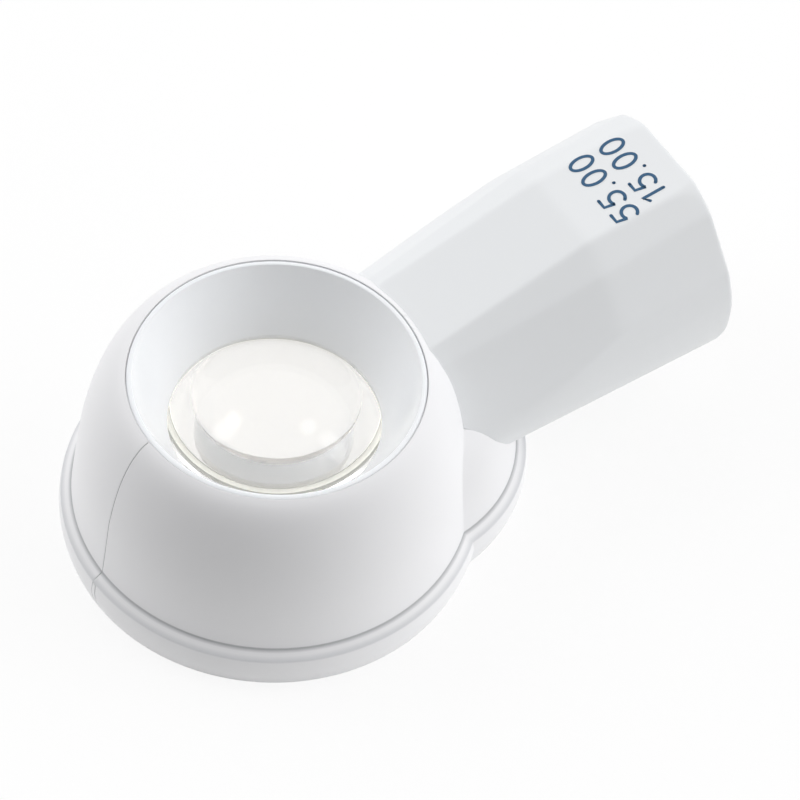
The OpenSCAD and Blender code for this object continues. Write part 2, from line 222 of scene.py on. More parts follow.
@dataclass(frozen=True)
class MouldedPlastic(Finish):
    """Injection-moulded plastic such as ABS or nylon, solid coloured."""

    grain: Grain = Grain.SATIN
    edge_round: float = 0.25 * MM
    # Emission in the plastic's own colour: a painted glow, for parts that are no lamp
    glow: float = 0.0
    grain_strength: float = 0.6
    ior: float = 1.53

    def _surface(self, tree: Tree) -> Socket:
        """Adds the plastic as it leaves the mould.

        Args:
            tree: the node tree to add to.

        Returns:
            An even colour, a soft sheen from the grain, slightly rounded edges that catch a thin light, and
            a painted glow where glow is set.
        """
        roughness, height, size = self.grain.value
        edge = add_node(tree, "ShaderNodeBevel", {"Radius": self.edge_round}, samples=6)
        # Grain is finer than a pixel, so it is drawn at about four times its real size
        normal = self._bumps(tree, size * MM, self.grain_strength, height * MM, edge.outputs["Normal"])
        inputs = {
            "Base Color": self._base(tree),
            "Roughness": roughness,
            "IOR": self.ior,
            "Emission Color": linear(self.colour),
            "Emission Strength": self.glow,
            "Normal": normal,
        }
        return add_node(tree, "ShaderNodeBsdfPrincipled", inputs).outputs["BSDF"]

    def _base(self, tree: Tree) -> Colour | Socket:
        """Base colour of the plastic, the same all over."""
        return linear(self.colour)


@dataclass(frozen=True)
class ShadeLine:
    """A line of painted shade along a joint or crease, thinner than a pixel, drawn in the colour."""

    centre: float
    # Half widths: at the first the line has its full strength, at the second it has faded
    core: float
    edge: float
    shade: str

    def strength(self, tree: Tree, value: Socket) -> Socket:
        """Makes the line where a value passes its centre.

        Args:
            tree: the node tree to add to.
            value: the running value, such as a height.

        Returns:
            A socket that is 1 on the line and 0 away from it.
        """
        off = add_node(tree, "ShaderNodeMath", {0: value, 1: self.centre}, operation="SUBTRACT")
        gap = add_node(tree, "ShaderNodeMath", {0: off.outputs[0]}, operation="ABSOLUTE")
        ends = {"From Min": self.core, "From Max": self.edge, "To Min": 1.0, "To Max": 0.0}
        line = add_node(tree, "ShaderNodeMapRange", {"Value": gap.outputs[0], **ends})
        return line.outputs[0]


@dataclass(frozen=True)
class ShellPlastic(MouldedPlastic):
    """The shells' plastic, with painted shade drawn in along the seam between them and in the foot's
    creases.
    """

    # The seam's painted shade lies a little off the middle and is drawn from the dome's far side up to this
    # place
    seam_shade: ShadeLine = ShadeLine(-0.04 * MM, 0.02 * MM, 0.09 * MM, "#b4b5b8")
    seam_end_x: float = -19.4 * MM
    # Painted shade in the crease where the foot's shelf meets the wall, and fainter painted shade along the
    # shelf's outer edge
    crease_shade: ShadeLine = ShadeLine(6.1 * MM, 0.03 * MM, 0.3 * MM, "#b9babd")
    step: ShadeLine = ShadeLine(5.25 * MM, 0.04 * MM, 0.35 * MM, "#dcdde0")
    # Where the dome's and the lobe's axes stand, and the radius in the middle of their walls
    walls: tuple[Pair, ...] = ((0.0, 24.9 * MM), (15.0 * MM, 18.5 * MM))

    def _base(self, tree: Tree) -> Socket:
        """Darkens the colour with painted shade on the lines, the foot's on the outside of the walls only.

        Args:
            tree: the node tree to add to.

        Returns:
            The base colour.
        """
        place = add_node(tree, "ShaderNodeTexCoord")
        split = add_node(tree, "ShaderNodeSeparateXYZ", {0: place.outputs["Object"]})
        along, across, height = split.outputs
        front = add_node(tree, "ShaderNodeMath", {0: along, 1: self.seam_end_x}, operation="LESS_THAN")
        flat = add_node(tree, "ShaderNodeCombineXYZ", {0: along, 1: across})
        outside = []
        for axis_x, radius in self.walls:
            ends = {0: flat.outputs[0], 1: (axis_x, 0.0, 0.0)}
            reach = add_node(tree, "ShaderNodeVectorMath", ends, operation="DISTANCE").outputs["Value"]
            past = add_node(tree, "ShaderNodeMath", {0: reach, 1: radius}, operation="GREATER_THAN")
            outside.append(past.outputs[0])
        colour = linear(self.colour)
        # Each line mixes its painted shade into the colour
        for line, value, masks in (
            (self.seam_shade, across, [front.outputs[0]]),
            (self.crease_shade, height, outside),
            (self.step, height, outside),
        ):
            shown = line.strength(tree, value)
            for mask in masks:
                both = {0: shown, 1: mask}
                shown = add_node(tree, "ShaderNodeMath", both, operation="MULTIPLY").outputs[0]
            inputs = {"Factor": shown, 6: colour, 7: linear(line.shade)}
            colour = add_node(tree, "ShaderNodeMix", inputs, data_type="RGBA").outputs[2]
        return colour


@dataclass(frozen=True)
class OpticalGlass(Finish):
    """Crown glass or acrylic with a coated, polished surface."""

    ior: float = 1.52

    def _surface(self, tree: Tree) -> Socket:
        """Adds the lens material.

        Args:
            tree: the node tree to add to.

        Returns:
            Clear glass that bends the view as the real lens does, and lets lamps and
            sky light through to what lies under it.
        """
        colour = linear(self.colour)
        inputs = {"Base Color": colour, "Roughness": 0.0, "IOR": self.ior, "Transmission Weight": 1.0}
        glass = add_node(tree, "ShaderNodeBsdfPrincipled", inputs)
        clear = add_node(tree, "ShaderNodeBsdfTransparent", {"Color": colour})
        path = add_node(tree, "ShaderNodeLightPath")
        rays = {0: path.outputs["Is Shadow Ray"], 1: path.outputs["Is Diffuse Ray"]}
        either = add_node(tree, "ShaderNodeMath", rays, operation="MAXIMUM")
        shaders = {0: either.outputs[0], 1: glass.outputs[0], 2: clear.outputs[0]}
        return add_node(tree, "ShaderNodeMixShader", shaders).outputs[0]


@dataclass(frozen=True)
class PlatedMetal(Finish):
    """Sheet or turned metal with a thin plating."""

    roughness: float
    brush: float = 0.0
    # Turning marks lie a ninth of a millimetre apart along the axis and run 2 mm round it
    mark_pitch: Point = (MM / 9, 2 * MM, 2 * MM)
    mark_depth: float = 0.01 * MM

    def _surface(self, tree: Tree) -> Socket:
        """Adds the metal.

        Args:
            tree: the node tree to add to.

        Returns:
            A bright metal whose fine turning marks spread its highlights.
        """
        place = add_node(tree, "ShaderNodeTexCoord")
        scale = tuple(1 / pitch for pitch in self.mark_pitch)
        stretch = add_node(tree, "ShaderNodeMapping", {"Vector": place.outputs["Object"], "Scale": scale})
        grain = {"Vector": stretch.outputs[0], "Scale": 1.0, "Detail": 3.0}
        marks = add_node(tree, "ShaderNodeTexNoise", grain)
        relief = {"Strength": self.brush, "Distance": self.mark_depth, "Height": marks.outputs["Fac"]}
        bump = add_node(tree, "ShaderNodeBump", relief)
        inputs = {
            "Base Color": linear(self.colour),
            "Metallic": 1.0,
            "Roughness": self.roughness,
            "Normal": bump.outputs["Normal"],
        }
        return add_node(tree, "ShaderNodeBsdfPrincipled", inputs).outputs["BSDF"]


@dataclass(frozen=True)
class SoftRubber(Finish):
    """Moulded silicone or nitrile rubber."""

    roughness: float = 0.7
    ior: float = 1.45
    bump_width: float = 0.4 * MM
    bump_depth: float = 0.02 * MM
    bump_strength: float = 0.4

    def _surface(self, tree: Tree) -> Socket:
        """Adds the rubber.

        Args:
            tree: the node tree to add to.

        Returns:
            A dull, faintly uneven surface with hardly any highlight.
        """
        inputs = {
            "Base Color": linear(self.colour),
            "Roughness": self.roughness,
            "IOR": self.ior,
            "Normal": self._bumps(tree, self.bump_width, self.bump_strength, self.bump_depth),
        }
        return add_node(tree, "ShaderNodeBsdfPrincipled", inputs).outputs["BSDF"]


@dataclass(frozen=True)
class OpalPlastic(Finish):
    """Acrylic or resin that light passes through and scatters in."""

    pass_through: float
    glow: float
    roughness: float = 0.35
    ior: float = 1.49
    bump_width: float = MM / 0.9
    bump_depth: float = 0.01 * MM
    bump_strength: float = 0.2

    def _surface(self, tree: Tree) -> Socket:
        """Adds the opal plastic.

        Args:
            tree: the node tree to add to.

        Returns:
            A milky plastic that looks lit from inside where light stands behind it.
        """
        inputs = {
            "Base Color": linear(self.colour),
            "Roughness": self.roughness,
            "IOR": self.ior,
            "Transmission Weight": self.pass_through,
            "Emission Color": linear(self.colour),
            "Emission Strength": self.glow,
            "Normal": self._bumps(tree, self.bump_width, self.bump_strength, self.bump_depth),
        }
        return add_node(tree, "ShaderNodeBsdfPrincipled", inputs).outputs["BSDF"]


@dataclass(frozen=True)
class PadInk(Finish):
    """Ink laid on the neck by pad printing."""

    # Width of the specks that the ink leaves as it dries
    speck: float = MM / 6
    # Roughness where the ink dried smooth, and where it dried dull
    smooth: float = 0.42
    dull: float = 0.6
    ior: float = 1.48

    def _surface(self, tree: Tree) -> Socket:
        """Adds the ink.

        Args:
            tree: the node tree to add to.

        Returns:
            A thin matt blue that dries a little unevenly.
        """
        place = add_node(tree, "ShaderNodeTexCoord")
        scale = {"Vector": place.outputs["Object"], "Scale": 1 / self.speck}
        noise = add_node(tree, "ShaderNodeTexNoise", scale)
        ends = {"Value": noise.outputs["Fac"], "To Min": self.smooth, "To Max": self.dull}
        spread = add_node(tree, "ShaderNodeMapRange", ends)
        inputs = {"Base Color": linear(self.colour), "Roughness": spread.outputs[0], "IOR": self.ior}
        return add_node(tree, "ShaderNodeBsdfPrincipled", inputs).outputs["BSDF"]


class Finishes:
    """The finishes of the magnifier, each built once and shared by its pieces."""

    def __init__(self) -> None:
        """Builds every finish."""
        polished, satin, spark = Grain.POLISHED, Grain.SATIN, Grain.SPARK
        thin_edge = 0.05 * MM
        # Satin moulded ABS: even white, soft wide highlights, with painted shade along the seam and the
        # foot's creases
        self.shell_white = ShellPlastic("satin_moulded_abs_shell", "#f1f1f3", satin, 0.3 * MM).material()
        # The sleeve is a cooler batch of the same ABS
        self.neck_white = MouldedPlastic("satin_moulded_abs_neck", "#eceef0", satin).material()
        # The eyecup's mould is polished, so the funnel reads smoother than the shells
        eyecup = MouldedPlastic("polished_moulded_abs_eyecup", "#f5f7fa", polished, 0.15 * MM)
        self.eyecup_white = eyecup.material()
        # Ring under the lens: natural white ABS, given a painted glow so that it reads lit, though it is no
        # lamp
        ring = MouldedPlastic("abs_ring_painted_glow", "#f2f2ef", polished, thin_edge, 0.55)
        self.ring_white = ring.material()
        # Glass-filled nylon of the lamp unit: black with a coarser sheen
        self.housing_black = MouldedPlastic("spark_moulded_nylon_housing", "#2b2d30", spark).material()
        # Ceramic chip resistors read as small matt black blocks
        self.chip_black = MouldedPlastic("fired_ceramic_chip", "#1f2124", satin).material()
        # White solder mask over laminate: flat, slightly warm
        self.board_white = MouldedPlastic("solder_mask_white", "#eef0ea", polished, thin_edge).material()
        # Polished acrylic lens: clear, bends the view strongly
        self.lens_clear = OpticalGlass("polished_acrylic_lens", "#fdfcfa").material()
        # The lens's flange leaves the mould frosted, so it reads as a white edge; it also has a faint
        # painted glow
        flange = MouldedPlastic("frosted_acrylic_flange_painted_glow", "#f7f7f4", polished, thin_edge, 0.2)
        self.lens_flange = flange.material()
        # Silicone gasket and nitrile seal: dull, one pale and one black
        self.gasket_grey = SoftRubber("moulded_silicone_gasket", "#f2f3f2").material()
        self.seal_black = SoftRubber("moulded_nitrile_seal", "#2a2b2d").material()
        # Nickel on rolled steel: pale, slightly yellow, brushed round the axis
        self.nickel = PlatedMetal("nickel_plated_steel_liner", "#c9c7c0", 0.28, 0.25).material()
        # Zinc-plated screw steel: a cool, slightly dull grey
        self.zinc = PlatedMetal("zinc_plated_steel_screw", "#b9bbbd", 0.35, 0.1).material()
        # Drawn music wire: bright, with sharp highlights
        self.wire = PlatedMetal("drawn_steel_wire", "#b4b7bb", 0.25, 0.1).material()
        # Gold flash on brass contacts: warm and bright
        self.gold = PlatedMetal("gold_flashed_brass_contact", "#e0bf72", 0.22, 0.1).material()
        # Vacuum-metallised reflector: near mirror
        self.mirror = PlatedMetal("vacuum_metallised_reflector", "#dfe2e5", 0.12).material()
        # Opal acrylic disc: spreads the lamp's light, so it reads as an even glow
        self.opal = OpalPlastic("opal_acrylic_diffuser", "#f9f6ee", 0.25, 7.5).material()
        # Phosphor resin over the emitter: pale yellow, lit
        self.phosphor = OpalPlastic("phosphor_resin_emitter", "#f4e39a", 0.1, 1.0).material()
        # Dark blue pad-printing ink: thin and matt
        self.ink = PadInk("pad_print_ink_blue", "#2d5a7e").material()


def quadratic(start: Pair, pull: Pair, end: Pair, steps: int) -> Profile:
    """Points of a quadratic curve.

    Args:
        start: first point, as radius and height.
        pull: point that the curve is drawn towards.
        end: last point.
        steps: how many stretches the curve has.

    Returns:
        The points from start to end.
    """
    t = np.linspace(0.0, 1.0, steps + 1)[:, None]
    line = (1 - t) ** 2 * np.array(start) + 2 * t * (1 - t) * np.array(pull) + t**2 * np.array(end)
    return [(float(r), float(z)) for r, z in line]


def arc(centre: Pair, radii: Pair, start: float, end: float) -> Profile:
    """Points of a stretch of an upright ellipse.

    Args:
        centre: its middle.
        radii: half its width and half its height.
        start: the angle at which the stretch starts, in degrees.
        end: the angle at which it ends.

    Returns:
        The points from start to end.
    """
    turns = [math.radians(start + (end - start) * k / ARC_STEPS) for k in range(ARC_STEPS + 1)]
    return [(centre[0] + radii[0] * math.cos(a), centre[1] + radii[1] * math.sin(a)) for a in turns]


def direction(azimuth: float, elevation: float) -> Point:
    """Unit vector from the object towards a place around it.

    Args:
        azimuth: angle from +X towards +Y, in degrees.
        elevation: angle over the table, in degrees.

    Returns:
        The vector.
    """
    az, el = math.radians(azimuth), math.radians(elevation)
    return (math.cos(az) * math.cos(el), math.sin(az) * math.cos(el), math.sin(el))


def mesh_piece(name: str, verts: Sequence[Point], faces: Sequence[Face], sharp_above: float) -> Piece:
    """Makes a mesh object, shaded smooth.

    Args:
        name: the piece's name.
        verts: its points.
        faces: its faces, as indices of the points.
        sharp_above: edges sharper than this many degrees stay crisp.

    Returns:
        The new object, linked into the scene.
    """
    mesh = bpy.data.meshes.new(name)
    mesh.from_pydata(verts, [], faces)
    mesh.validate()
    mesh.update()
    piece = bpy.data.objects.new(name, mesh)
    bpy.context.scene.collection.objects.link(piece)
    mesh.shade_smooth()
    mesh.set_sharp_from_angle(angle=math.radians(sharp_above))
    return piece


def turned_piece(name: str, outline: Profile, sharp_above: float) -> Piece:
    """Turns a closed outline about the lens's axis.

    Args:
        name: the piece's name.
        outline: closed outline, as radius and height.
        sharp_above: edges sharper than this many degrees stay crisp.

    Returns:
        The new object.
    """
    verts: list[Point] = []
    rings: list[list[int]] = []
    for r, z in outline:
        if r < ON_AXIS:
            rings.append([len(verts)] * TURN_STEPS)
            verts.append((0.0, 0.0, z))
            continue
        rings.append(list(range(len(verts), len(verts) + TURN_STEPS)))
        for k in range(TURN_STEPS):
            a = 2 * math.pi * k / TURN_STEPS
            verts.append((r * math.cos(a), r * math.sin(a), z))
    faces = []
    for i, ring in enumerate(rings):
        above = rings[(i + 1) % len(rings)]
        for k in range(TURN_STEPS):
            n = (k + 1) % TURN_STEPS
            corners = [ring[k], ring[n], above[n], above[k]]
            face = [c for j, c in enumerate(corners) if c not in corners[:j]]
            if len(face) > 2:
                faces.append(face)
    return mesh_piece(name, verts, faces, sharp_above)


class CadShading:
    """Smooths how solid nodes are shaded, with their points left where they are."""

    group: Tree | None = None
    join_within: float = 0.0005 * MM
    sharp_above: float = 18.0

    @classmethod
    def _tree(cls) -> Tree:
        """Builds the shared modifier tree once.

        Returns:
            A tree that joins points in one place and then shades smooth by angle.
        """
        if cls.group is None:
            tree = bpy.data.node_groups.new("smooth_bands", "GeometryNodeTree")
            for way in ("INPUT", "OUTPUT"):
                tree.interface.new_socket("Geometry", in_out=way, socket_type="NodeSocketGeometry")
            start = add_node(tree, "NodeGroupInput")
            joined = {"Geometry": start.outputs[0], "Distance": cls.join_within}
            weld = add_node(tree, "GeometryNodeMergeByDistance", joined)
            angle = add_node(tree, "GeometryNodeInputMeshEdgeAngle")
            limit = {0: angle.outputs[0], 1: math.radians(cls.sharp_above)}
            sharp = add_node(tree, "FunctionNodeCompare", limit, operation="GREATER_THAN")
            edges = {"Mesh": weld.outputs[0], "Edge Sharpness": sharp.outputs[0]}
            normal = add_node(tree, "GeometryNodeSetMeshNormal", edges, mode="SHARPNESS")
            add_node(tree, "NodeGroupOutput", {0: normal.outputs[0]})
            cls.group = tree
        return cls.group

    @classmethod
    def smooth(cls, node: Piece) -> None:
        """Adds the shading modifier to a solid node of the frame."""
        node.modifiers.new("smooth_bands", "NODES").node_group = cls._tree()


@dataclass
class Assembly:
    """What every sub-assembly holds: the loaded frame and the finishes."""

    frame: dict
    finishes: Finishes
    pieces: list[str] = field(default_factory=list, init=False)

    def build(self) -> None:
        """Builds and dresses the pieces; each sub-assembly has its own."""
        raise NotImplementedError

    def dress(self, node: str, material: Material) -> None:
        """Gives a solid node its finish and shades its bands smooth.

        Args:
            node: the node's name.
            material: the finish.
        """
        piece = self.frame["nodes"][node]
        piece.data.materials.clear()
        piece.data.materials.append(material)
        CadShading.smooth(piece)
        self.pieces.append(node)

    def stand_in(self, piece: Piece, node: str, slot: str, material: Material) -> None:
        """Lets a smooth piece stand for a solid node of the head.

        Args:
            piece: the new piece, in place.
            node: the solid node that it stands for.
            slot: the record's material slot; not used.
            material: the finish.
        """
        piece.data.materials.append(material)
        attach(piece, "head")
        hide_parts(node)
        self.pieces.append(piece.name)

    def report(self) -> None:
        """Logs the pieces of this sub-assembly."""
        log.info("%s: %s", type(self).__name__, ", ".join(self.pieces))


@dataclass
class StandForm:
    """Outer form of the dome and lobe, which the sleeve is cut to."""

    dome_r: float = 25.8 * MM
    dome_h: float = 29.1 * MM
    dome_lean: float = 0.85 * MM
    # The dome's shoulder stands at this share of its height over the foot
    dome_share: float = 0.43
    # From the shoulder and the rim, inwards and down, to the point that the curve is drawn to
    dome_pull: Pair = (1.75 * MM, 1.5 * MM)
    rim_r: float = 19.2 * MM
    foot_h: float = 6.1 * MM
    foot_out: float = 1.7 * MM
    # Start, pull and end of the foot's curve, as shares of its reach and of its height
    foot_curve: tuple[Pair, Pair, Pair] = ((0.5, 0.0), (1.15, 0.5), (0.8, 0.85))
    lobe_x: float = 15.0 * MM
    lobe_r: float = 19.4 * MM
    # The lobe's wall leans by this share of the dome's lean
    lobe_share: float = 0.9
    lobe_shoulder_z: float = 15.0 * MM
    lobe_crown_h: float = 6.0 * MM
    lobe_crown_r: float = 11.0 * MM
    lobe_pull: Pair = (0.45 * MM, 0.8 * MM)

    def _foot(self, r: float) -> Profile:
        """Outline of the foot under a wall.

        Args:
            r: the wall's radius.

        Returns:
            Points from the table up to the wall.
        """
        points = [(r + out * self.foot_out, up * self.foot_h) for out, up in self.foot_curve]
        return quadratic(*points, steps=8) + [(r, self.foot_h)]

    def dome(self) -> Profile:
        """Outline of the dome.

        Returns:
            Points from the table to its rim.
        """
        shoulder_z = self.foot_h + self.dome_share * (self.dome_h - self.foot_h)
        shoulder = (self.dome_r - self.dome_lean, shoulder_z)
        pull = (shoulder[0] - self.dome_pull[0], self.dome_h - self.dome_pull[1])
        return self._foot(self.dome_r) + quadratic(shoulder, pull, (self.rim_r, self.dome_h), steps=32)

    def lobe(self) -> Profile:
        """Outline of the lobe.

        Returns:
            Points from the table to its crown.
        """
        top = self.lobe_shoulder_z + self.lobe_crown_h
        shoulder = (self.lobe_r - self.lobe_share * self.dome_lean, self.lobe_shoulder_z)
        pull = (shoulder[0] - self.lobe_pull[0], top - self.lobe_pull[1])
        return self._foot(self.lobe_r) + quadratic(shoulder, pull, (self.lobe_crown_r, top), steps=24)

    def holds(self, x: float, y: float, z: float, gap: float) -> bool:
        """Tells whether a point lies in the form.

        Args:
            x: the point's place along the neck.
            y: its place across the neck.
            z: its height.
            gap: how far the form is grown, or shrunk where it is negative.

        Returns:
            True if the point is inside the dome or the lobe.
        """
        for outline, centre in ((self.dome(), 0.0), (self.lobe(), self.lobe_x)):
            heights = [p[1] + gap for p in outline]
            if z < heights[-1]:
                r = float(np.interp(z, heights, [p[0] + gap for p in outline]))
                if math.hypot(x - centre, y) < r:
                    return True
        return False


@dataclass
class StandShells(Assembly):
    """The two shells of the stand, joined along the middle."""

    def build(self) -> None:
        """Dresses both shells."""
        self.dress("shell_left", self.finishes.shell_white)
        self.dress("shell_right", self.finishes.shell_white)


@dataclass
class EyepieceCell(Assembly):
    """Eyecup, lens, gasket and the ring that holds the lens."""

    rim_r: float = 19.16 * MM
    rim_z: float = 29.1 * MM
    # How far the rim's rolled edge reaches down and inwards
    roll_down: float = 0.35 * MM
    roll_in: float = 0.5 * MM
    # The funnel's curve: its start in from and under the rim, its pull and its end over the seat
    funnel_start: Pair = (0.2 * MM, 0.05 * MM)
    funnel_pull: Pair = (3.4 * MM, 5.6 * MM)
    funnel_end: float = 0.5 * MM
    view_r: float = 13.75 * MM
    seat_z: float = 19.9 * MM
    flange_t: float = 4.5 * MM
    barrel_r: float = 17.05 * MM
    pocket_r: float = 15.05 * MM
    barrel_z: float = 15.9 * MM
    lens_face_r: float = 17.9 * MM
    lens_conic: float = -1.0
    lens_edge: float = 1.7 * MM
    lens_rim_r: float = 14.9 * MM
    lens_steps: int = 60
    gasket_t: float = 0.3 * MM

    def build(self) -> None:
        """Builds the smooth eyecup and lens, and dresses the rest."""
        self.stand_in(self._eyecup(), "eyecup", "eyecup_abs", self.finishes.eyecup_white)
        lens = self._lens()
        self.stand_in(lens, "lens", "lens_glass", self.finishes.lens_clear)
        self._frost_flange(lens)
        self.dress("lens_gasket", self.finishes.gasket_grey)
        self.dress("lens_ring", self.finishes.ring_white)

    def _eyecup(self) -> Piece:
        """Turns the funnel with its rolled rim.

        Returns:
            The eyecup.
        """
        ledge_z = self.rim_z - self.flange_t
        inner = self.rim_r - self.roll_in
        outline = [(self.pocket_r, self.barrel_z), (self.barrel_r, self.barrel_z)]
        outline += [(self.barrel_r, ledge_z), (self.rim_r, ledge_z)]
        roll = (self.rim_r, self.rim_z - self.roll_down)
        outline += quadratic(roll, (self.rim_r, self.rim_z), (inner, self.rim_z), steps=8)
        start = (inner - self.funnel_start[0], self.rim_z - self.funnel_start[1])
        pull = (self.view_r + self.funnel_pull[0], self.seat_z + self.funnel_pull[1])
        outline += quadratic(start, pull, (self.view_r, self.seat_z + self.funnel_end), steps=40)
        outline += [(self.view_r, self.seat_z), (self.pocket_r, self.seat_z)]
        return turned_piece("eyecup_funnel", outline, sharp_above=28.0)

    def _lens(self) -> Piece:
        """Turns the lens from two equal aspheric faces and its flat rim.

        Returns:
            The lens.
        """
        top = self.seat_z - self.gasket_t
        bottom = top - self.lens_edge
        crown = top + self._sag(self.view_r)
        radii = [self.view_r * k / self.lens_steps for k in range(self.lens_steps + 1)]
        upper = [(r, crown - self._sag(r)) for r in radii]
        lower = [(r, bottom + top - z) for r, z in upper]
        outline = lower + [(self.lens_rim_r, bottom), (self.lens_rim_r, top)] + upper[::-1]
        return turned_piece("lens_biconvex", outline, sharp_above=24.0)

    def _sag(self, r: float) -> float:
        """Depth of a lens face under its crown.

        Args:
            r: distance from the lens's axis.

        Returns:
            The depth there, on a face that flattens outwards.
        """
        bend = 1 / self.lens_face_r
        return bend * r**2 / (1 + math.sqrt(1 - (1 + self.lens_conic) * (bend * r) ** 2))

    def _frost_flange(self, lens: Piece) -> None:
        """Gives the lens's flange its frosted finish, which carries a faint painted glow.

        Args:
            lens: the dressed lens.
        """
        lens.data.materials.append(self.finishes.lens_flange)
        for face in lens.data.polygons:
            if math.hypot(*face.center[:2]) > self.view_r:
                face.material_index = 1


@dataclass
class NeckSleeve(Assembly):
    """The sleeve over the neck: round underneath, softly faceted on top."""

    axis_z: float = 20.6 * MM
    round_r: float = 16.4 * MM
    kink_x: float = 43.4 * MM
    end_x: float = 60.3 * MM
    wall: float = 1.6 * MM
    bore_r: float = 13.15 * MM
    bore_x: float = 44.2 * MM
    seal_r: float = 13.55 * MM
    seal_x: float = 59.8 * MM
    # How far the front edge is sunk in the stand, so that no gap shows there
    sunk: float = 0.06 * MM
    lip: float = 0.3 * MM
    # Ridges are rounded by the first on top and by the second underneath
    ridge_round: float = 0.05 * MM
    low_round: float = 0.55 * MM
    # Angles from the top between which the rounding changes
    low_turns: Pair = (80.0, 100.0)
    # Angle from the top, distance at the kink, slope before and after it
    facets: tuple[tuple[float, float, float, float], ...] = (
        (0, 13.95 * MM, 0.25, 0.089),
        (32, 15.0 * MM, 0.209, 0.083),
        (53, 14.9 * MM, 0.176, 0.051),
        (72, 15.75 * MM, 0.05, 0.03),
    )
    # A facet counts where the cosine of the angle between it and the direction is above this
    least_lean: float = 0.1
    columns: int = 240
    rows: int = 110
    # Where the search for the front edge starts, its step, and how often the last step is halved
    search_x: float = 12.0 * MM
    search_step: float = 0.1 * MM
    search_steps: int = 220
    halvings: int = 10
    form: StandForm = field(default_factory=StandForm)

    def build(self) -> None:
        """Builds the sleeve that stands for the faceted solid."""
        self.stand_in(self._sleeve(), "neck_sleeve", "neck_abs", self.finishes.neck_white)

    def radius(self, x: float, turn: float, rounding: float) -> float:
        """Distance of the outer surface from the neck's axis.

        Args:
            x: place along the neck.
            turn: angle from the top, in radians, positive towards +Y.
            rounding: how far ridges are rounded; 0 keeps them crisp.

        Returns:
            The radius there.
        """
        reach = [self.round_r]
        for degrees, distance, before, after in self.facets:
            for side in (1, -1) if degrees else (1,):
                lean = math.cos(turn - side * math.radians(degrees))
                if lean > self.least_lean:
                    step = x - self.kink_x
                    reach += [(distance + before * step) / lean, (distance + after * step) / lean]
        low = min(reach)
        if rounding <= 0:
            return low
        return low - rounding * math.log(sum(math.exp(-(r - low) / rounding) for r in reach))

    def _rounding(self, turn: float) -> float:
        """How far ridges are rounded at one angle.

        Args:
            turn: angle from the top, in radians.

        Returns:
            The rounding: little on top, more towards the underside.
        """
        start, end = self.low_turns
        from_top = math.degrees(math.pi - abs(math.pi - turn % (2 * math.pi)))
        share = min(max((from_top - start) / (end - start), 0.0), 1.0)
        return self.ridge_round + (self.low_round - self.ridge_round) * share**2 * (3 - 2 * share)

    def _front(self, turn: float, surface: Callable[[float], float]) -> float:
        """Finds where the sleeve meets the stand along one line.

        Args:
            turn: angle from the top, in radians.
            surface: radius as a function of the place along the neck.

        Returns:
            The place along the neck of the sleeve's front edge.
        """

        def inside(x: float) -> bool:
            """Tells whether the surface is still in the stand."""
            return self.form.holds(*self._point(x, surface(x), turn), -self.sunk)

        low = self.search_x
        for k in range(self.search_steps):
            x = self.search_x + self.search_step * k
            if inside(x):
                low = x
        high = low + self.search_step
        for _ in range(self.halvings):
            middle = (low + high) / 2
            low, high = (middle, high) if inside(middle) else (low, middle)
        return high

    def _point(self, x: float, r: float, turn: float) -> Point:
        """Point at a place along the neck, a radius and an angle from the top."""
        return (x, r * math.sin(turn), self.axis_z + r * math.cos(turn))

    def _sleeve(self) -> Piece:
        """Builds the sleeve from the outlines of its wall, side by side round the neck.

        Returns:
            The sleeve.
        """
        columns = []
        for k in range(self.columns):
            turn = 2 * math.pi * k / self.columns
            columns.append([self._point(x, r, turn) for x, r in self._column(turn)])
        count = len(columns[0])
        verts = [column[i] for i in range(count) for column in columns]
        faces = []
        for i in range(count):
            here, there = i * self.columns, (i + 1) % count * self.columns
            for k in range(self.columns):
                n = (k + 1) % self.columns
                faces.append((here + k, there + k, there + n, here + n))
        return mesh_piece("neck_sleeve_soft", verts, faces, sharp_above=40.0)

    def _column(self, turn: float) -> Profile:
        """Outline of the sleeve's wall at one angle.

        Args:
            turn: angle from the top, in radians.

        Returns:
            Closed outline as place along the neck and radius.
        """
        rounding = self._rounding(turn)

        def outer(x: float) -> float:
            """Radius of the outside."""
            return self.radius(x, turn, rounding)

        def inner(x: float) -> float:
            """Radius of the inside."""
            return self.radius(x, turn, 0.0) - self.wall

        start, start_in = self._front(turn, outer), self._front(turn, inner)
        shares = [i / (self.rows - 1) for i in range(self.rows)]
        column = []
        for share in shares:
            x = start + (self.end_x - self.lip - start) * share
            column.append((x, outer(x)))
        # A quarter round leads over the lip to the mouth
        for degrees in (30, 60, 90):
            a = math.radians(degrees)
            x = self.end_x - self.lip * (1 - math.sin(a))
            column.append((x, outer(x) - self.lip * (1 - math.cos(a))))
        column += [(self.end_x, self.seal_r), (self.seal_x, self.seal_r)]
        column += [(self.seal_x, self.bore_r), (self.bore_x, self.bore_r)]
        for share in shares:
            x = self.bore_x - (self.bore_x - start_in) * share
            column.append((x, inner(x)))
        return column


@dataclass
class HandleSocket(Assembly):
    """Metal liner and rubber seal that take the handle, and the screws beside them."""

    def build(self) -> None:
        """Dresses the socket."""
        self.dress("socket_liner", self.finishes.nickel)
        self.dress("socket_seal", self.finishes.seal_black)
        self.dress("shell_screws", self.finishes.zinc)


@dataclass
class LampUnit(Assembly):
    """Diffuser, reflector, board and housing of the lamp."""

    def build(self) -> None:
        """Dresses the lamp."""
        finishes = self.finishes
        self.dress("diffuser", finishes.opal)
        self.dress("reflector", finishes.mirror)
        self.dress("led_board", finishes.board_white)
        self.dress("led_emitter", finishes.phosphor)
        self.dress("board_resistors", finishes.chip_black)
        self.dress("centre_terminal", finishes.gold)
        self.dress("lamp_housing", finishes.housing_black)
        self.dress("lamp_cap", finishes.housing_black)
        self.dress("ground_strip", finishes.gold)


